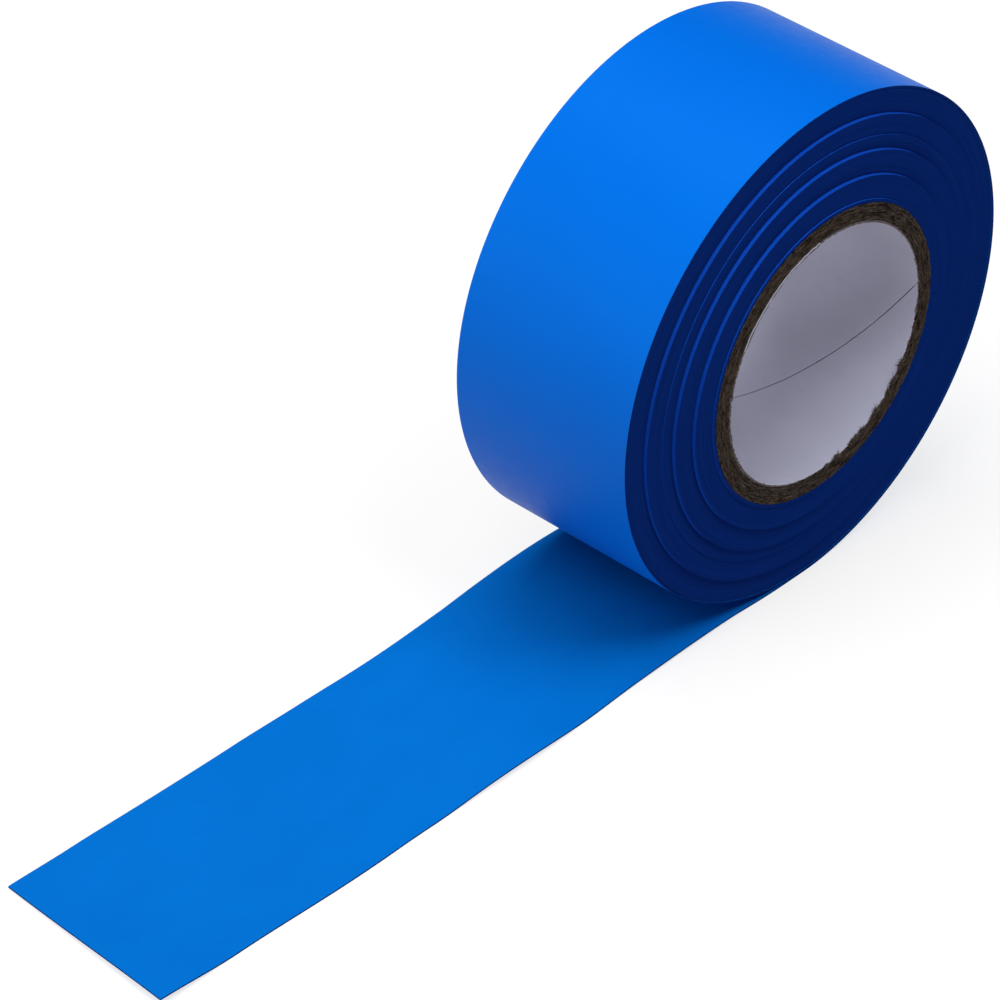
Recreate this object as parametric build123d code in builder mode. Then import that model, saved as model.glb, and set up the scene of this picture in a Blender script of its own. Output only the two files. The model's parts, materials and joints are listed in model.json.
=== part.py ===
from build123d import *
import math
import os

# Roll of electrical tape on a board core, millimetres.
# The origin is the centre of the core's bore and the roll's axis lies along Y.
# The roll stands on its rim. Its front side faces -Y, and the tape is paid out along -X.

# ---- the tape: a PVC film with an adhesive layer on the side that faces the core ----
tape_width = 25.0
film_thickness = 0.16
adhesive_thickness = 0.04
tape_thickness = film_thickness + adhesive_thickness

# ---- the core: a paper liner inside spiral-wound board plies ----
core_bore = 32.0
core_length = 25.0
liner_thickness = 0.3
ply_thickness = 0.42
ply_count = 5
seam_advance = 66.8  # axial travel of a ply's butt seam in one whole turn
liner_seam_gap = 0.15
ply_seam_gap = 0.2
liner_seam_angle = 7.2  # where the liner's seam meets the front end, in degrees from +X towards +Z
ply_seam_step = 164.8  # from one ply's seam to the next one's

# ---- the winding, from the core outwards ----
# Each band of turns has slid along the core: turns in the band, and how far back from the core it sits
first_turn_count, first_turns_set_back = 2, 0.09
band_turns = [14, 14, 8, 12, 14]
band_set_back = [0.29, 0.74, 1.19, 1.31, 1.76]
running_clearance = 0.05  # between the wound roll and the outer turn that it turns inside

# ---- the tape that has been paid out ----
exposed_length = 101.5  # from the line where it leaves the roll to the middle of its cut end
free_end_length = 20.0
end_skew = 1.7  # by how much the cut end is out of square over the width

core_radius = core_bore / 2 + liner_thickness + ply_count * ply_thickness
wound_radius = core_radius + (first_turn_count + sum(band_turns)) * tape_thickness
outer_turn_bore_radius = wound_radius + running_clearance
roll_radius = outer_turn_bore_radius + 2 * tape_thickness
outer_turn_set_back = band_set_back[-1]
tape_front = outer_turn_set_back - tape_width / 2
tape_back = outer_turn_set_back + tape_width / 2

os.makedirs("parts", exist_ok=True)


def finish(piece, name):
    """Label a finished piece and write its file."""
    piece.part.label = name
    export_step(piece.part, "parts/" + name + ".step")


def ring(inner_radius, outer_radius, length, set_back):
    """A plain ring about the roll's axis, whose middle is set back along +Y."""
    with BuildPart() as piece:
        with BuildSketch(Plane.XZ.offset(-set_back - length / 2)):
            Circle(outer_radius)
            Circle(inner_radius, mode=Mode.SUBTRACT)
        extrude(amount=length)
    return piece


def wound_ply(inner_radius, thickness, seam_angle, seam_gap):
    """One spiral-wound ply: a ring with the open butt seam that runs round it as a helix."""
    piece = ring(inner_radius, inner_radius + thickness, core_length, 0)
    over = thickness
    turn_per_mm = 360 / seam_advance
    start_y = -core_length / 2 - over
    seam_length = core_length + 2 * over
    seam_section = Plane(
        origin=(0, start_y, 0), x_dir=(1, 0, 0), z_dir=(0, -1, 0)
    ) * Rot(0, 0, seam_angle + over * turn_per_mm) * Pos(inner_radius + thickness / 2, 0) * Rectangle(
        thickness + 2 * over, seam_gap
    )
    seam = Solid.extrude_linear_with_rotation(
        seam_section.face(), (0, start_y, 0), (0, seam_length, 0), seam_length * turn_per_mm
    )
    with piece:
        add(seam, mode=Mode.SUBTRACT)
    return piece


def spiral(start_radius):
    """One turn of the tape as four quarter arcs, from the leaving line at the bottom round by +X.

    Each arc's radius is a quarter of the tape's thickness smaller than the last one's, about a
    centre that has moved by as much, so that the arcs meet smoothly."""
    step = tape_thickness / 4
    centres = [(0, 0), (step, 0), (step, step), (0, step)]
    for quarter, centre in enumerate(centres):
        CenterArc(centre, start_radius - quarter * step, -90 + 90 * quarter, 90)


def spiral_end(start_radius):
    """The bottom point where a spiral comes round under its own start."""
    return (0, tape_thickness - start_radius)


def outer_turn_film():
    inner_start = roll_radius - film_thickness
    with BuildPart() as piece:
        with BuildSketch(Plane.XZ.offset(-tape_back)):
            with BuildLine():
                spiral(roll_radius)
                Line(spiral_end(roll_radius), spiral_end(inner_start))
                spiral(inner_start)
                Line((0, -roll_radius), (0, -inner_start))
            make_face()
        extrude(amount=tape_width)
    return piece


def outer_turn_adhesive():
    """The adhesive under the outer turn, which fills the spiral's wedge down to a round bore."""
    start = roll_radius - film_thickness
    with BuildPart() as piece:
        with BuildSketch(Plane.XZ.offset(-tape_back)):
            with BuildLine():
                spiral(start)
                Line(spiral_end(start), (0, -start))
            make_face()
            Circle(outer_turn_bore_radius, mode=Mode.SUBTRACT)
        extrude(amount=tape_width)
    return piece


def strip(near, far, bottom, thickness, skew):
    """A flat length of one layer of the tape, from x = -near to x = -far. Its far end may be skewed."""
    with BuildPart() as piece:
        with BuildSketch(Plane.XY.offset(bottom)):
            with BuildLine():
                Polyline(
                    (-near, tape_front),
                    (-near, tape_back),
                    (-far + skew / 2, tape_back),
                    (-far - skew / 2, tape_front),
                    close=True,
                )
            make_face()
        extrude(amount=thickness)
    return piece


# ---- the core ----
finish(wound_ply(core_bore / 2, liner_thickness, liner_seam_angle, liner_seam_gap), "core_liner")
for number in range(1, ply_count + 1):
    ply_inner_radius = core_bore / 2 + liner_thickness + (number - 1) * ply_thickness
    ply_seam_angle = liner_seam_angle + number * ply_seam_step
    board_ply = wound_ply(ply_inner_radius, ply_thickness, ply_seam_angle, ply_seam_gap)
    finish(board_ply, "core_ply_" + str(number))

# ---- the wound tape that turns with the core ----
band_radius = core_radius + first_turn_count * tape_thickness
finish(ring(core_radius, band_radius, tape_width, first_turns_set_back), "first_turns")
for number, (turns, set_back) in enumerate(zip(band_turns, band_set_back), start=1):
    next_radius = band_radius + turns * tape_thickness
    finish(ring(band_radius, next_radius, tape_width, set_back), "wound_band_" + str(number))
    band_radius = next_radius

# ---- the outer turn and the tape that leaves it ----
finish(outer_turn_film(), "outer_turn_film")
finish(outer_turn_adhesive(), "outer_turn_adhesive")
free_end_start = exposed_length - free_end_length
film_bottom = -roll_radius
adhesive_bottom = film_bottom + film_thickness
finish(strip(0, free_end_start, film_bottom, film_thickness, 0), "payout_film")
finish(strip(0, free_end_start, adhesive_bottom, adhesive_thickness, 0), "payout_adhesive")
finish(strip(free_end_start, exposed_length, film_bottom, film_thickness, end_skew), "free_end_film")
finish(
    strip(free_end_start, exposed_length, adhesive_bottom, adhesive_thickness, end_skew),
    "free_end_adhesive",
)

print("roll diameter %.2f, tape wound %.2f m" % (
    2 * roll_radius,
    math.pi * (roll_radius**2 - core_radius**2) / tape_thickness / 1000,
))
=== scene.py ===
import json
import math

import bmesh
import bpy
import numpy as np
from mathutils import Matrix, Vector


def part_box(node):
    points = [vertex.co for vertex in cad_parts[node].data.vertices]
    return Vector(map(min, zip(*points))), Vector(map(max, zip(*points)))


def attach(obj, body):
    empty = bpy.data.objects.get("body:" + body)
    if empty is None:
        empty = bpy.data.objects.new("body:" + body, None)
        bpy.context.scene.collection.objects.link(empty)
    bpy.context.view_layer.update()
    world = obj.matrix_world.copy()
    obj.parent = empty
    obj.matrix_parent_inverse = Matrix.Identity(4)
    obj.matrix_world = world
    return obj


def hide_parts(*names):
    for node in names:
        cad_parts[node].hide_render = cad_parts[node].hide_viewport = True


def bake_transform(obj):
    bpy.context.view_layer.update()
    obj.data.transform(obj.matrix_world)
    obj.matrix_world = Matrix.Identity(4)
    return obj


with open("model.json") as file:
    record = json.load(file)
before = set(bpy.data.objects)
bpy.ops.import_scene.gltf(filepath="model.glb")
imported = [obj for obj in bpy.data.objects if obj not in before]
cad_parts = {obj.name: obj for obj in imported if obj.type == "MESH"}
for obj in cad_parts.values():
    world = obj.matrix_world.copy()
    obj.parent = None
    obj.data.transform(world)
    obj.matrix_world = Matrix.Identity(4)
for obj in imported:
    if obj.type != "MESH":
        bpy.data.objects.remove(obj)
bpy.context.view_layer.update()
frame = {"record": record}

record = frame["record"]
MM = 0.001

# ---------------------------------------------------------------- sizes, read from the frame
film_low, film_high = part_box("payout_film")
adhesive_low, adhesive_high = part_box("payout_adhesive")
end_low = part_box("free_end_film")[0]
turn_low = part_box("outer_turn_film")[0]
liner_low, liner_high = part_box("core_liner")

film_thickness = film_high[2] - film_low[2]
adhesive_thickness = adhesive_high[2] - adhesive_low[2]
tape_thickness = film_thickness + adhesive_thickness
tape_front, tape_back = film_low[1], film_high[1]
tape_width = tape_back - tape_front
floor_height = film_low[2]
roll_radius = -turn_low[2]
outer_bore_radius = roll_radius - 2 * tape_thickness
core_front, core_back = liner_low[1], liner_high[1]
core_length = core_back - core_front
bore_radius = next(m for m in record["mounts"] if m["name"] == "core_bore")["dims"]["r_mm"] * MM
strip_end = end_low[0]

# ---------------------------------------------------------------- looks, chosen
BAND_ANGLE_STEPS, PLY_ANGLE_STEPS, TURN_STEPS = 360, 1080, 480
TURN_COLUMNS, STRIP_STEPS, STRIP_COLUMNS = 13, 220, 31
SHARP_ANGLE = math.radians(30)  # faces that meet at more than this keep a crisp edge
LINER_THICKNESS = 0.3 * MM
SEAM_ADVANCE = 66.8 * MM  # axial travel of a ply's seam in one whole turn
LINER_SEAM_ANGLE = math.radians(7.2)
PLY_SEAM_STEP = math.radians(164.8)
END_SKEW = 1.7 * MM
TUFT_ANGLES = (329, 321, 307, 297, 292, 281)  # the large tufts of torn fibre, in degrees
PALE_EDGE_MIDDLE, PALE_EDGE_SPREAD = 124, 27  # where the liner's own cut edge shows, in degrees

# The paid-out strip's long shallow waves. Each is its height in mm, the place of its top, and half
# its length. The cut end also lifts: its height in mm, and where the rise starts and ends. Places
# are the way from the line where the tape leaves the roll, in roll radii.
BACK_EDGE_WAVES, BACK_END_LIFT = ((0.80, 0.58, 0.52), (0.20, 2.30, 0.45)), (0.20, 2.90, 3.20)
FRONT_EDGE_WAVES, FRONT_END_LIFT = ((0.42, 0.50, 0.60), (0.60, 1.52, 0.42)), (0.85, 2.85, 3.30)
MIDDLE_WAVES = ((0.15, 2.10, 0.90),)
SIDEWAYS_WAVES = ((0.66, 1.50, 0.62), (0.50, 2.25, 0.62))
STRIP_LIES_UNTIL, STRIP_FREE_FROM = 0.10, 0.40  # the roll holds the strip down close to itself


# ---------------------------------------------------------------- small helpers
def smooth(value, low, high):
    """0 below low, 1 above high, and a smooth rise between them."""
    t = np.clip((value - low) / (high - low), 0, 1)
    return t * t * (3 - 2 * t)


def bump_at(value, centre, half_width):
    """A smooth hump of height 1 at centre, which ends half_width away on each side."""
    t = np.clip(np.abs(value - centre) / half_width, 0, 1)
    return (1 - t * t) ** 2


def periodic_noise(seed, angles, waves, fall=0.5):
    """A smooth random curve round the circle, of about unit height, with 1 to waves periods."""
    rng = np.random.default_rng(seed)
    total = np.zeros_like(angles)
    for count in range(1, waves + 1):
        total += rng.normal() * np.cos(count * angles + rng.uniform(0, 2 * math.pi)) / count**fall
    return total / math.sqrt(sum(1 / count ** (2 * fall) for count in range(1, waves + 1)))


def rough_noise(seed, count, blur):
    """Random values round a circle, blurred over a number of steps and scaled to unit spread."""
    values = np.random.default_rng(seed).normal(size=count)
    kernel = np.hanning(2 * blur + 3)
    kernel /= kernel.sum()
    wrapped = np.concatenate([values[-len(kernel):], values, values[: len(kernel)]])
    blurred = np.convolve(wrapped, kernel, mode="same")[len(kernel):-len(kernel)]
    return blurred / blurred.std()


def mesh_object(name, points, faces, materials, face_materials=None, smooth_shading=True):
    mesh = bpy.data.meshes.new(name)
    mesh.from_pydata([tuple(p) for p in points], [], faces)
    for material in materials:
        mesh.materials.append(material)
    if face_materials is not None:
        mesh.polygons.foreach_set("material_index", np.asarray(face_materials, dtype=np.int32))
    mesh.polygons.foreach_set("use_smooth", np.full(len(faces), smooth_shading))
    mesh.update()
    obj = bpy.data.objects.new(name, mesh)
    bpy.context.scene.collection.objects.link(obj)
    return obj


def finish_closed(obj):
    """Turn the faces outwards, and keep edges crisp where two faces meet at a wide angle."""
    work = bmesh.new()
    work.from_mesh(obj.data)
    bmesh.ops.recalc_face_normals(work, faces=work.faces)
    for edge in work.edges:
        if len(edge.link_faces) == 2 and edge.calc_face_angle(0) > SHARP_ANGLE:
            edge.smooth = False
    work.to_mesh(obj.data)
    work.free()


def ring_object(name, radii, depths, materials, row_materials, angles=None, seam_columns=()):
    """A closed ring about Y. radii and depths hold one row for each point of the section's loop and
    one column for each angle; row_materials holds the material of the faces after each row.
    Faces in seam_columns take the last material."""
    rows, columns = radii.shape
    if angles is None:
        angles = np.linspace(0, 2 * math.pi, columns, endpoint=False)
    points = np.stack([radii * np.cos(angles), depths, radii * np.sin(angles)], -1).reshape(-1, 3)
    faces, face_materials = [], []
    for row in range(rows):
        following = (row + 1) % rows
        for column in range(columns):
            beside = (column + 1) % columns
            faces.append((
                row * columns + column,
                row * columns + beside,
                following * columns + beside,
                following * columns + column,
            ))
            in_seam = column in seam_columns
            face_materials.append(len(materials) - 1 if in_seam else row_materials[row])
    obj = mesh_object(name, points, faces, materials, face_materials)
    finish_closed(obj)
    return obj


def closed_sheet(name, layers, materials):
    """A closed sheet from two layers of points, each a grid of (along, across, 3). The first
    material is on the first layer, the second on the second layer, and the third on the edges."""
    points = np.asarray(layers)
    count, wide = points.shape[1:3]
    faces, face_materials = [], []

    def at(layer, index, column):
        return layer * count * wide + index * wide + column

    for index in range(count - 1):
        for column in range(wide - 1):
            for layer in (0, 1):
                faces.append((
                    at(layer, index, column), at(layer, index, column + 1),
                    at(layer, index + 1, column + 1), at(layer, index + 1, column),
                ))
                face_materials.append(layer)
        for column in (0, wide - 1):
            faces.append((
                at(0, index, column), at(0, index + 1, column),
                at(1, index + 1, column), at(1, index, column),
            ))
            face_materials.append(2)
    for index in (0, count - 1):
        for column in range(wide - 1):
            faces.append((
                at(0, index, column), at(0, index, column + 1),
                at(1, index, column + 1), at(1, index, column),
            ))
            face_materials.append(2)
    obj = mesh_object(name, points.reshape(-1, 3), faces, materials, face_materials)
    finish_closed(obj)
    return obj


# ---------------------------------------------------------------- materials
class Shader:
    """A node material with a few short ways to add to it. Coordinates are the object's own."""

    def __init__(self, name):
        self.material = bpy.data.materials.new(name)
        self.material.use_nodes = True
        self.nodes = self.material.node_tree.nodes
        self.links = self.material.node_tree.links
        self.shader = self.nodes["Principled BSDF"]
        self.place = self.nodes.new("ShaderNodeTexCoord").outputs["Object"]

    def set(self, **values):
        for key, value in values.items():
            self.shader.inputs[key.replace("_", " ")].default_value = value

    def link(self, source, target):
        self.links.new(source, target)

    def math(self, operation, first, second=None, third=None):
        node = self.nodes.new("ShaderNodeMath")
        node.operation = operation
        for index, value in enumerate((first, second, third)):
            if value is None:
                continue
            if isinstance(value, (int, float)):
                node.inputs[index].default_value = value
            else:
                self.link(value, node.inputs[index])
        return node.outputs[0]

    def stretched(self, x, y, z):
        node = self.nodes.new("ShaderNodeMapping")
        node.inputs["Scale"].default_value = (x, y, z)
        self.link(self.place, node.inputs["Vector"])
        return node.outputs[0]

    def polar(self, along_radius, along_turn, along_axis):
        """Coordinates that follow the winding: radius, angle and depth, each with its own scale."""
        split = self.nodes.new("ShaderNodeSeparateXYZ")
        self.link(self.place, split.inputs[0])
        x, y, z = split.outputs
        x_squared, z_squared = self.math("MULTIPLY", x, x), self.math("MULTIPLY", z, z)
        radius = self.math("SQRT", self.math("ADD", x_squared, z_squared))
        cosine = self.math("DIVIDE", x, radius)
        sine = self.math("DIVIDE", z, radius)
        joined = self.nodes.new("ShaderNodeCombineXYZ")
        self.link(self.math("MULTIPLY", cosine, along_turn), joined.inputs[0])
        self.link(self.math("MULTIPLY", sine, along_turn), joined.inputs[1])
        self.link(
            self.math("MULTIPLY_ADD", radius, along_radius, self.math("MULTIPLY", y, along_axis)),
            joined.inputs[2],
        )
        return joined.outputs[0]

    def noise(self, vector, scale, detail=2.0, roughness=0.5):
        node = self.nodes.new("ShaderNodeTexNoise")
        node.inputs["Scale"].default_value = scale
        node.inputs["Detail"].default_value = detail
        node.inputs["Roughness"].default_value = roughness
        self.link(vector, node.inputs["Vector"])
        return node.outputs["Fac"]

    def spread(self, value, low, high, out_low=0.0, out_high=1.0):
        node = self.nodes.new("ShaderNodeMapRange")
        for index, number in ((1, low), (2, high), (3, out_low), (4, out_high)):
            node.inputs[index].default_value = number
        self.link(value, node.inputs[0])
        return node.outputs[0]

    def mix(self, factor, first, second):
        node = self.nodes.new("ShaderNodeMix")
        node.data_type = "RGBA"
        self.link(factor, node.inputs[0])
        for socket, value in ((node.inputs[6], first), (node.inputs[7], second)):
            if isinstance(value, tuple):
                socket.default_value = (*value, 1.0)
            else:
                self.link(value, socket)
        return node.outputs[2]

    def colour(self, output):
        self.link(output, self.shader.inputs["Base Color"])

    def roughness(self, output):
        self.link(output, self.shader.inputs["Roughness"])

    def bump(self, *layers):
        """Each layer is a height, and how high it stands in metres."""
        previous = None
        for height, distance in layers:
            node = self.nodes.new("ShaderNodeBump")
            node.inputs["Strength"].default_value = 1.0
            node.inputs["Distance"].default_value = distance
            self.link(height, node.inputs["Height"])
            if previous is not None:
                self.link(previous, node.inputs["Normal"])
            previous = node.outputs["Normal"]
        self.link(previous, self.shader.inputs["Normal"])


def film_material(name, first_blue, second_blue):
    """The outer side of the PVC film: blue, softly glossy, with faint rolling marks and specks."""
    s = Shader(name)
    broad = s.noise(s.stretched(60, 40, 60), 1.0, 3.0)
    lines = s.noise(s.polar(0, 3, 2600), 1.0, 2.0)
    specks = s.noise(s.place, 5200, 1.0)
    s.colour(s.mix(s.spread(broad, 0.3, 0.7), first_blue, second_blue))
    s.roughness(s.spread(s.noise(s.place, 900, 3.0), 0.3, 0.7, 0.40, 0.48))
    s.bump((lines, 1.2e-6), (specks, 1.6e-6))
    s.set(Specular_IOR_Level=0.06, Specular_Tint=(0.02, 1.0, 0.80, 1.0))
    return s.material


def adhesive_material():
    """The tacky side: a thin even coat with slight mottling and faint lines along the tape."""
    s = Shader("adhesive")
    mottle = s.noise(s.stretched(120, 170, 120), 1.0, 4.0, 0.55)
    lines = s.noise(s.stretched(40, 2400, 40), 1.0, 2.0)
    s.colour(s.mix(s.spread(mottle, 0.3, 0.7), (0.0004, 0.098, 0.384), (0.0005, 0.105, 0.406)))
    s.roughness(s.spread(mottle, 0.3, 0.7, 0.42, 0.55))
    s.bump((lines, 1.0e-6), (s.noise(s.place, 1500, 3.0), 2.0e-6))
    s.set(Specular_IOR_Level=0.08, Specular_Tint=(0.03, 0.5, 1.0, 1.0))
    return s.material


def tape_side_material():
    """The slit edges of the wound turns: dark blue, with a fine line for each turn."""
    s = Shader("slit_edges")
    turns = s.noise(s.polar(1 / tape_thickness, 1.2, 0), 1.0, 2.0)
    patches = s.noise(s.stretched(90, 90, 90), 1.0, 3.0)
    lined = s.mix(s.spread(turns, 0.3, 0.7), (0.0022, 0.0152, 0.113), (0.0031, 0.0202, 0.147))
    s.colour(s.mix(s.spread(patches, 0.35, 0.75, 0.0, 0.55), lined, (0.0026, 0.0175, 0.130)))
    s.roughness(s.spread(turns, 0.3, 0.7, 0.45, 0.56))
    s.bump((turns, 3.0e-6), (s.noise(s.place, 2600, 2.0), 2.0e-6))
    s.set(Specular_IOR_Level=0.0)
    return s.material


def liner_material():
    """White liner paper: matt, slightly uneven, with faint fibres."""
    s = Shader("liner_paper")
    fibres = s.noise(s.stretched(900, 500, 900), 1.0, 4.0, 0.6)
    cloud = s.noise(s.stretched(110, 70, 110), 1.0, 3.0)
    plain = s.mix(s.spread(cloud, 0.3, 0.7), (0.358, 0.357, 0.452), (0.394, 0.392, 0.492))
    s.colour(s.mix(s.spread(fibres, 0.62, 0.80, 0.0, 0.5), plain, (0.310, 0.305, 0.370)))
    s.roughness(s.spread(fibres, 0.3, 0.7, 0.72, 0.90))
    s.bump((fibres, 1.0e-5), (s.noise(s.place, 3000, 2.0), 4.0e-6))
    s.set(Specular_IOR_Level=0.25)
    return s.material


def board_material():
    """Cut edge of grey-brown board: layered round the core, with pale fibres and dark pits."""
    s = Shader("core_board")
    layers = s.noise(s.polar(4300, 12, 0), 1.0, 3.0, 0.6)
    fibres = s.noise(s.polar(5200, 60, 900), 1.0, 4.0, 0.65)
    pits = s.noise(s.place, 4600, 3.0, 0.6)
    base = s.mix(s.spread(layers, 0.35, 0.65), (0.009, 0.0060, 0.0046), (0.072, 0.052, 0.040))
    pale = s.mix(s.spread(fibres, 0.56, 0.76, 0.0, 0.7), base, (0.150, 0.112, 0.084))
    s.colour(s.mix(s.spread(pits, 0.54, 0.66, 0.0, 0.85), pale, (0.014, 0.0095, 0.007)))
    s.roughness(s.spread(fibres, 0.3, 0.7, 0.80, 0.95))
    s.bump((layers, 3.0e-5), (fibres, 4.0e-5), (pits, -3.0e-5))
    s.set(Specular_IOR_Level=0.05)
    return s.material


def plain_fibre_and_painted_shade_material(name, dark, light):
    """Bare fibre of one colour, mottled along its length; seam_shadow uses it for painted shade in
    the liner's seam groove.
    """
    s = Shader(name)
    mottle = s.noise(s.place, 4000, 2.0)
    s.colour(s.mix(s.spread(mottle, 0.35, 0.65), dark, light))
    s.roughness(s.spread(mottle, 0.3, 0.7, 0.85, 0.95))
    s.set(Specular_IOR_Level=0.1)
    return s.material


film = film_material("pvc_film", (0.0005, 0.094, 0.462), (0.0006, 0.100, 0.486))
# A darker copy of the film for the bands' inner and outer faces, seen as the steps between turns.
# The deeper blue is partly the film seen through its thickness and partly painted shade.
step_film_with_painted_shade = film_material("pvc_film_in_steps_with_painted_shade", (0.0036, 0.052, 0.395), (0.0042, 0.058, 0.425))
adhesive = adhesive_material()
tape_side = tape_side_material()
liner_paper = liner_material()
core_board = board_material()
loose_fibre = plain_fibre_and_painted_shade_material("loose_fibre", (0.045, 0.032, 0.026), (0.120, 0.092, 0.075))
liner_edge = plain_fibre_and_painted_shade_material("liner_edge", (0.060, 0.048, 0.046), (0.150, 0.130, 0.130))
# seam_shadow is painted shade: a dark colour for the faces inside the liner's open seam groove
seam_shadow = plain_fibre_and_painted_shade_material("seam_shadow", (0.012, 0.010, 0.012), (0.030, 0.026, 0.028))


# ---------------------------------------------------------------- the core
def seam_angle_at(start_angle, depth):
    """Where a helical butt seam is at a depth behind the core's front end."""
    return start_angle - 2 * math.pi * depth / SEAM_ADVANCE


def angle_gap(first, second):
    """The smaller angle between two directions."""
    return np.abs((first - second + math.pi) % (2 * math.pi) - math.pi)


def pale_share(angles):
    """1 at the upper left, where the liner's own cut edge has come away and shows; else 0."""
    away = np.abs((np.degrees(angles) - PALE_EDGE_MIDDLE + 180) % 360 - 180)
    return smooth(-away, -PALE_EDGE_SPREAD - 1.5, -PALE_EDGE_SPREAD + 1.5)


def make_liner():
    """The paper ply that lines the bore. Its butt seam is an open groove, and the mesh's columns
    run along the seam's helix, so that the groove keeps its width all the way."""
    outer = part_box("core_liner")[1][0]
    groove_half_width, groove_depth = 0.08 * MM, 0.85 * (outer - bore_radius)
    curl_height, curl_reach = 0.05 * MM, 0.25 * MM  # beside the seam, the paper's edges curl up
    lift_height, lift_reach = 0.12 * MM, 0.8 * MM  # at the front, where the cut edge has come away
    wave_height, waves_along = 0.025 * MM, 40
    tear_height, tear_reach = 0.08 * MM, 0.7 * MM
    end_set_back = end_roughness = 0.05 * MM
    # the front end: a gap at the outside, the cut edge's width, and how far it slopes forwards
    end_gap, end_width, end_slope = 0.08 * MM, 0.12 * MM, 0.02 * MM
    depth_steps = 110

    even_from, even_columns = 1.4 * MM / bore_radius, 420
    near_seam = np.array([0.0, 0.07, 0.09, 0.16, 0.30, 0.50, 0.80]) * MM / bore_radius
    elsewhere = np.linspace(even_from, 2 * math.pi - even_from, even_columns)
    from_seam = np.concatenate([near_seam, elsewhere, 2 * math.pi - near_seam[:0:-1]])
    columns = len(from_seam)
    beside = np.minimum(from_seam, 2 * math.pi - from_seam) * bore_radius
    in_groove = beside < groove_half_width
    fray = np.abs(rough_noise(21, columns, 1))

    def angles_at(depth):
        return from_seam + seam_angle_at(LINER_SEAM_ANGLE, depth)

    def bore_row(depth):
        angles = angles_at(depth)
        curled = curl_height * np.exp(-beside / curl_reach) * ~in_groove
        lifted = lift_height * pale_share(angles) * math.exp(-depth / lift_reach)
        wave = wave_height * periodic_noise(11, angles + depth * waves_along, 5)
        return bore_radius + wave - curled - lifted + groove_depth * in_groove

    rows = []
    for step in range(depth_steps + 1):
        depth = core_length * step / depth_steps
        torn = tear_height * fray * max(0.0, 1 - depth / tear_reach)
        rows.append((bore_row(depth), core_front + depth + torn, angles_at(depth)))
    front = core_front + end_set_back + end_roughness * np.abs(rough_noise(23, columns, 2))
    back = core_back - end_roughness * np.abs(rough_noise(22, columns, 2))
    outside = np.full(columns, outer)
    end_angles = angles_at(0)
    shows = pale_share(end_angles)
    rows.append((outside, back, angles_at(core_length)))
    for step in range(depth_steps - 1, 0, -1):
        depth = core_length * step / depth_steps
        rows.append((outside, np.full(columns, core_front + depth), angles_at(depth)))
    rows.append((outside - end_gap, front, end_angles))
    rows.append((outside - end_gap - end_width - end_gap * shows, front - end_slope, end_angles))
    radii, depths, angles = (np.array([row[part] for row in rows]) for part in range(3))
    # the faces inside the seam groove get seam_shadow, a painted shade
    groove_columns = {c for c in range(columns) if in_groove[c] and in_groove[(c + 1) % columns]}
    obj = ring_object(
        "liner", radii, depths, [liner_paper, liner_edge, seam_shadow], [0] * len(rows), angles,
        groove_columns,
    )
    # the front end's three rows of faces: the gap, the cut edge, and the lip by the bore
    never = np.zeros(columns, bool)
    end_is_pale = np.concatenate([never, shows > 0.5, never])
    for face, pale in zip(obj.data.polygons[-3 * columns:], end_is_pale):
        face.material_index = 0 if pale else 1
    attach(obj, "roll")
    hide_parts("core_liner")


def make_ply(number):
    """One board ply. Its cut ends are torn fibre, a little above or below the next ply's."""
    node = "core_ply_%d" % number
    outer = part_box(node)[1][2]
    thickness = (outer - bore_radius - LINER_THICKNESS) / number
    inner = outer - thickness
    angles = np.linspace(0, 2 * math.pi, PLY_ANGLE_STEPS, endpoint=False)
    sections = 7  # points across the end
    notch_depth, notch_half_angle = 0.45 * MM, 0.014  # the open seam, where it reaches the end
    tear, pit_depth, edge_drop, sway_width = 0.035 * MM, 0.22 * MM, 0.07 * MM, 0.02 * MM
    pit_starts, pit_is_full = 1.3, 2.4  # heights of the noise that makes the pits
    liner_gap_depth = 0.30 * MM  # the liner has come away from the first ply at the ends
    seam = LINER_SEAM_ANGLE + number * PLY_SEAM_STEP
    level = np.random.default_rng(300 + number).uniform(-0.02, 0.10) * MM

    def end_rows(sign, plane, order):
        """Rows across the end, from the first radius in order to the last."""
        gap = angle_gap(angles, seam_angle_at(seam, 0 if sign > 0 else core_length))
        notch = notch_depth * bump_at(gap, 0, notch_half_angle)
        rows = []
        for index in order:
            inside = index not in (0, sections - 1)
            radius = inner + thickness * index / (sections - 1)
            seed = 1000 * number + 10 * index + (0 if sign > 0 else 5)
            fine = rough_noise(seed, PLY_ANGLE_STEPS, 1)
            coarse = rough_noise(seed + 1, PLY_ANGLE_STEPS, 6)
            holes = rough_noise(seed + 2, PLY_ANGLE_STEPS, 5)
            pits = pit_depth * smooth(holes, pit_starts, pit_is_full)
            drop = 0.0 if inside else edge_drop
            if number == 1 and index == 0:
                drop = liner_gap_depth
            depth = level + notch + tear * np.abs(fine + coarse) + pits + drop
            sway = sway_width * rough_noise(seed + 3, PLY_ANGLE_STEPS, 4)
            rows.append((radius + sway * inside, plane + sign * depth))
        return rows

    rows = end_rows(1, core_front, range(sections))
    rows += end_rows(-1, core_back, range(sections - 1, -1, -1))
    radii = np.array([r for r, _ in rows])
    depths = np.array([d for _, d in rows])
    obj = ring_object("board_ply_%d" % number, radii, depths, [core_board], [0] * len(rows))
    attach(obj, "roll")
    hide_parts(node)


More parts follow.
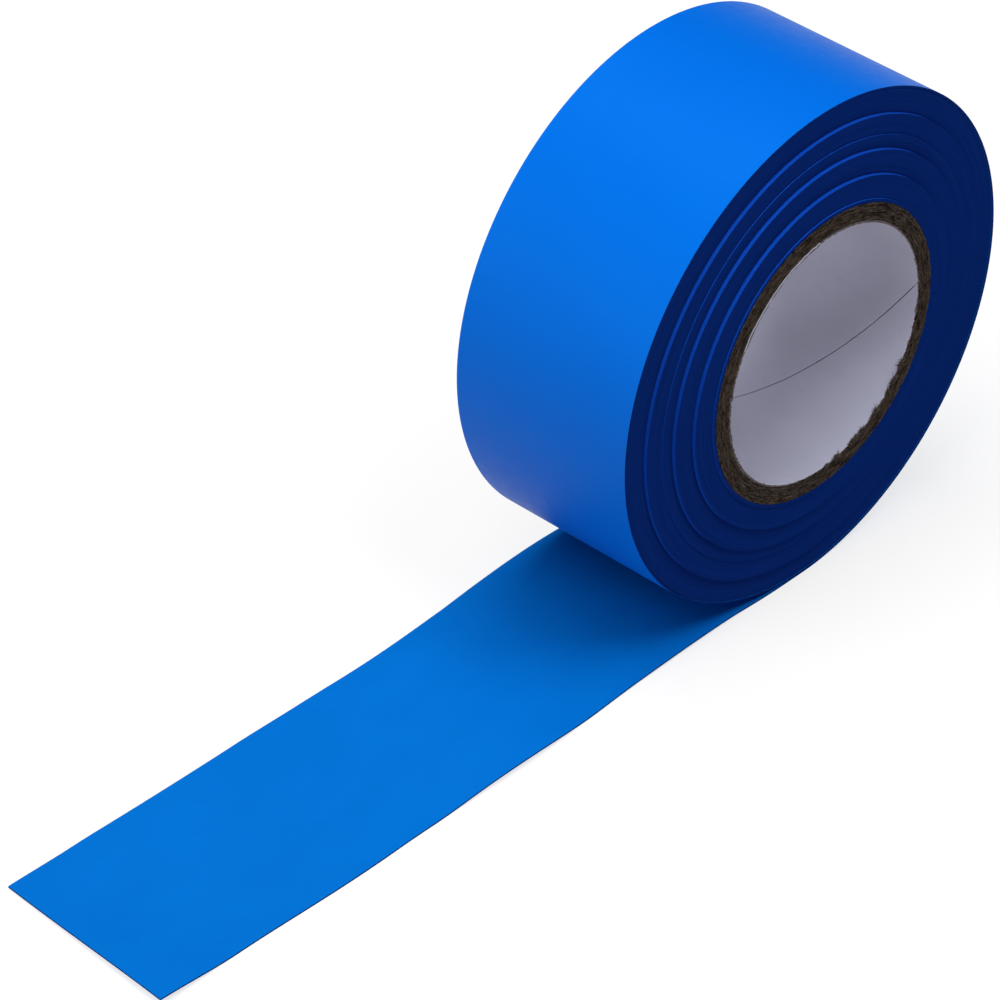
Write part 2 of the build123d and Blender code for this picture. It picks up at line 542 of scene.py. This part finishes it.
def make_fibres():
    """Tufts of torn board fibre that hang over the liner at the front of the core, low on its
    right, and a few loose fibres round the rest of the edge."""
    rng = np.random.default_rng(77)
    points, faces = [], []
    small_tufts, tuft_hairs, loose_hairs = 9, 75, 90
    large_sizes, small_sizes, loose_size = (0.75, 1.0), (0.35, 0.6), 0.35
    small_tuft_span, loose_span, tuft_spread = (265, 338), (200, 400), 0.8  # degrees
    lengths, widths, heights, depths = (0.6, 1.2), (0.028, 0.055), (0.05, 0.40), (-0.06, 0.08)  # mm
    tip_width = 0.3  # as a share of the width at the root
    root_leans, joint_leans = 0.9, 0.5  # spread of the lean from straight inwards, in radians
    root_rises, joint_rises = (-0.55, 0.15), (0.0, 0.30)  # tilt back along the axis
    joints = 4  # rings of points along a hair
    tufts = [(angle, rng.uniform(*large_sizes)) for angle in TUFT_ANGLES]
    tufts += [
        (rng.uniform(*small_tuft_span), rng.uniform(*small_sizes)) for _ in range(small_tufts)
    ]
    hairs = [
        (math.radians(rng.normal(angle, tuft_spread * size)), size)
        for angle, size in tufts for _ in range(tuft_hairs)
    ]
    hairs += [(math.radians(rng.uniform(*loose_span)), loose_size) for _ in range(loose_hairs)]
    for angle, size in hairs:
        length = size * rng.uniform(*lengths) * MM
        width = rng.uniform(*widths) * MM
        radius = bore_radius + rng.uniform(*heights) * MM
        base = Vector((math.cos(angle), 0, math.sin(angle)))
        along = Vector((-math.sin(angle), 0, math.cos(angle)))
        centre = base * radius + Vector((0, core_front + rng.uniform(*depths) * MM, 0))
        lean = rng.normal(0, root_leans)
        rise = rng.uniform(*root_rises)
        first = len(points)
        for joint in range(joints):
            share = 1 - joint / joints
            direction = -base * math.cos(lean) + along * math.sin(lean) + Vector((0, rise, 0))
            direction.normalize()
            side = direction.cross(Vector((0, 1, 0))).normalized()
            over = side.cross(direction)
            for corner in range(3):
                around = corner * 2 * math.pi / 3
                spoke = side * math.cos(around) + over * math.sin(around)
                points.append(centre + spoke * width * (tip_width + (1 - tip_width) * share))
            centre = centre + direction * length / (joints - 1)
            lean += rng.normal(0, joint_leans)
            rise += rng.uniform(*joint_rises)
        faces.append((first + 2, first + 1, first))
        for joint in range(joints - 1):
            start = first + 3 * joint
            for corner in range(3):
                beside = (corner + 1) % 3
                faces.append((
                    start + corner, start + beside, start + 3 + beside, start + 3 + corner,
                ))
        last = first + 3 * (joints - 1)
        faces.append((last, last + 1, last + 2))
    obj = mesh_object("torn_fibres", points, faces, [loose_fibre])
    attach(obj, "roll")


make_liner()
for ply_number in range(1, 6):
    make_ply(ply_number)
make_fibres()


# ---------------------------------------------------------------- the wound tape
def make_band(node, inner, seed):
    """A band of turns. Each turn's slit edge stands a hair above or below the next one's."""
    low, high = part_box(node)
    outer = high[2]
    turns = max(1, round((outer - inner) / tape_thickness))
    turn_width = (outer - inner) / turns
    side_set_back, largest_shift = 0.03 * MM, 0.03 * MM
    inner_edge, outer_edge = 0.05 * MM, 0.04 * MM  # how far the band's corners stand back
    shift_spread, wave_spread, flat_share = 0.005, 0.004, (0.12, 0.88)
    rng = np.random.default_rng(seed)
    angles = np.linspace(0, 2 * math.pi, BAND_ANGLE_STEPS, endpoint=False)
    rows = []  # radius, depth along the axis, and the material of the faces after the row

    def side_rows(plane, inward, order):
        for turn in order:
            shift = rng.normal(0, shift_spread)
            shift = shift + wave_spread * periodic_noise(seed * 50 + turn, angles, 3)
            shift = np.clip(shift * MM, -largest_shift, largest_shift)
            depth = plane + inward * (side_set_back + shift)
            for share in flat_share[::order.step]:
                rows.append((inner + (turn + share) * turn_width, depth, 0))

    rows.append((inner, low[1] + inner_edge, 0))
    side_rows(low[1], 1, range(turns))
    rows.append((outer, low[1] + outer_edge, 1))
    rows.append((outer, high[1] - outer_edge, 0))
    side_rows(high[1], -1, range(turns - 1, -1, -1))
    rows.append((inner, high[1] - inner_edge, 1))
    radii = np.array([np.full(BAND_ANGLE_STEPS, r) for r, _, _ in rows])
    depths = np.array([np.broadcast_to(d, BAND_ANGLE_STEPS) for _, d, _ in rows])
    row_materials = [material for _, _, material in rows]
    # the bands' inner and outer faces take the darker film copy, partly painted shade
    obj = ring_object(node + "_tape", radii, depths, [tape_side, step_film_with_painted_shade], row_materials)
    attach(obj, "roll")
    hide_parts(node)


band_nodes = ["first_turns"] + ["wound_band_%d" % number for number in range(1, 6)]
inner_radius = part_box("core_ply_5")[1][2]
for band_index, band_node in enumerate(band_nodes):
    make_band(band_node, inner_radius, 40 + band_index)
    inner_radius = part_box(band_node)[1][2]


# ---------------------------------------------------------------- the outer turn
def turn_layer(radius, loss):
    """Points of one face of the outer turn, from the leaving line at the bottom and round by +X.
    The radius goes down by loss in the whole turn."""
    turn = np.linspace(0, 2 * math.pi, TURN_STEPS + 1)
    angle = turn - math.pi / 2
    radii = radius - loss * turn / (2 * math.pi)
    return [
        [(r * math.cos(a), y, r * math.sin(a)) for y in across_turn] for r, a in zip(radii, angle)
    ]


across_turn = np.linspace(tape_front, tape_back, TURN_COLUMNS)
film_outside = turn_layer(roll_radius, tape_thickness)
film_inside = turn_layer(roll_radius - film_thickness, tape_thickness)
turn_film = closed_sheet("outer_turn", [film_outside, film_inside], [film, adhesive, tape_side])
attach(turn_film, "payout")
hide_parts("outer_turn_film")

turn_adhesive = closed_sheet(
    "outer_turn_adhesive_layer", [film_inside, turn_layer(outer_bore_radius, 0.0)],
    [adhesive, adhesive, tape_side],
)
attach(turn_adhesive, "payout")
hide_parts("outer_turn_adhesive")


# ---------------------------------------------------------------- the paid-out strip
def waves(run, table):
    """The height of a table's waves, in mm, at a place along the strip."""
    return sum(height * bump_at(run, top, half_length) for height, top, half_length in table)


def end_lift(run, lift):
    """The height in mm by which an edge lifts towards the cut end."""
    height, rise_start, rise_end = lift
    return height * smooth(run, rise_start, rise_end)


def strip_lift(run, side):
    """How far the strip is lifted off the surface. run is the way from the leaving line, in roll
    radii. side is 0 at the front edge and 1 at the back edge."""
    back_edge = waves(run, BACK_EDGE_WAVES) + end_lift(run, BACK_END_LIFT)
    front_edge = waves(run, FRONT_EDGE_WAVES) + end_lift(run, FRONT_END_LIFT)
    middle = waves(run, MIDDLE_WAVES) * math.sin(math.pi * side)
    across = smooth(side, 0.0, 1.0)
    lift = (1 - across) * front_edge + across * back_edge + middle
    return lift * MM * smooth(run, STRIP_LIES_UNTIL, STRIP_FREE_FROM)


def strip_sway(run):
    """How far the strip wanders sideways, towards the front, from a straight line."""
    return waves(run, SIDEWAYS_WAVES) * MM


def strip_layer(height):
    """Points of one face of the strip, at a height in it, from the leaving line to the cut end."""
    grid = []
    for step in range(STRIP_STEPS + 1):
        share = step / STRIP_STEPS
        row = []
        for column in range(STRIP_COLUMNS):
            side = column / (STRIP_COLUMNS - 1)
            end_x = strip_end + END_SKEW * side
            x = end_x * share
            run = -x / roll_radius
            y = tape_front + side * tape_width - strip_sway(run)
            row.append((x, y, floor_height + height + strip_lift(run, side)))
        grid.append(row)
    return grid


strip_film = closed_sheet(
    "strip_film", [strip_layer(0.0), strip_layer(film_thickness)], [film, adhesive, tape_side]
)
strip_adhesive = closed_sheet(
    "strip_adhesive", [strip_layer(film_thickness), strip_layer(tape_thickness)],
    [adhesive, adhesive, tape_side],
)
for piece, nodes, slot_name in (
    (strip_film, ("payout_film", "free_end_film"), "tape_film"),
    (strip_adhesive, ("payout_adhesive", "free_end_adhesive"), "tape_adhesive"),
):
    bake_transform(piece)
    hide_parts(*nodes)

# ---------------------------------------------------------------- floor, light and camera
floor_material = Shader("floor_paint")
floor_tone = floor_material.noise(floor_material.place, 6.0, 2.0)
floor_material.colour(floor_material.mix(floor_tone, (0.195, 0.195, 0.196), (0.205, 0.205, 0.206)))
# It glows a little, so that it comes out as white as the photograph's background.
floor_material.set(
    Roughness=0.9, Specular_IOR_Level=0.0,
    Emission_Color=(1.0, 1.0, 1.0, 1.0), Emission_Strength=0.72,
)
reach = 4.0  # how far the floor goes from the middle
floor_corners = [(x, y, floor_height) for x, y in (
    (-reach, -reach), (reach, -reach), (reach, reach), (-reach, reach),
)]
floor = mesh_object(
    "floor", floor_corners, [(0, 1, 2, 3)], [floor_material.material], smooth_shading=False
)

light_distance = 1.2
# name, direction from the roll, diameter in metres, power in watts
for light_name, direction, size, power in (
    ("top", (0.0, 0.14, 1.0), 0.8, 9.2),
    ("top_left", (-0.50, 0.0, 0.87), 0.8, 8.2),
    ("back_left", (-0.75, 0.60, 0.30), 0.8, 5.4),
    ("front", (0.10, -0.42, 0.90), 0.6, 8.2),
    ("back", (0.0, 0.50, 0.85), 0.8, 1.4),
):
    light_data = bpy.data.lights.new(light_name, "AREA")
    light_data.shape = "DISK"
    light_data.size = size
    light_data.energy = power
    light = bpy.data.objects.new(light_name, light_data)
    place = Vector(direction).normalized() * light_distance
    light.location = place
    light.rotation_euler = (-place).to_track_quat("-Z", "Y").to_euler()
    bpy.context.scene.collection.objects.link(light)

world = bpy.data.worlds.new("studio")
world.use_nodes = True
world.node_tree.nodes["Background"].inputs["Color"].default_value = (1.0, 1.0, 1.0, 1.0)
world.node_tree.nodes["Background"].inputs["Strength"].default_value = 0.02
bpy.context.scene.world = world
bpy.context.scene.view_settings.view_transform = "Standard"

# The camera stands where the photograph's stood, found from the outlines of the roll and the bore.
camera_data = bpy.data.cameras.new("camera")
camera_data.lens = 200.05
camera_data.sensor_width = 36.0
camera_data.clip_end = 20.0
camera = bpy.data.objects.new("camera", camera_data)
camera_target = Vector((-3.3195, -1.8896, 1.9395)) * roll_radius
camera_azimuth, camera_elevation = math.radians(-47.559), math.radians(36.956)
camera_distance = 15.598 * roll_radius
camera_tilt = 0.017118  # turn of the picture about the line of sight, in radians
offset = Vector((
    math.sin(camera_azimuth) * math.cos(camera_elevation),
    -math.cos(camera_azimuth) * math.cos(camera_elevation),
    math.sin(camera_elevation),
)) * camera_distance
forward = -offset.normalized()
level_right = forward.cross(Vector((0, 0, 1))).normalized()
level_down = forward.cross(level_right).normalized()
right = level_right * math.cos(camera_tilt) - level_down * math.sin(camera_tilt)
down = level_right * math.sin(camera_tilt) + level_down * math.cos(camera_tilt)
camera.matrix_world = Matrix.Translation(camera_target + offset) @ Matrix((
    (right.x, -down.x, -forward.x, 0),
    (right.y, -down.y, -forward.y, 0),
    (right.z, -down.z, -forward.z, 0),
    (0, 0, 0, 1),
))
bpy.context.scene.collection.objects.link(camera)
bpy.context.scene.camera = camera
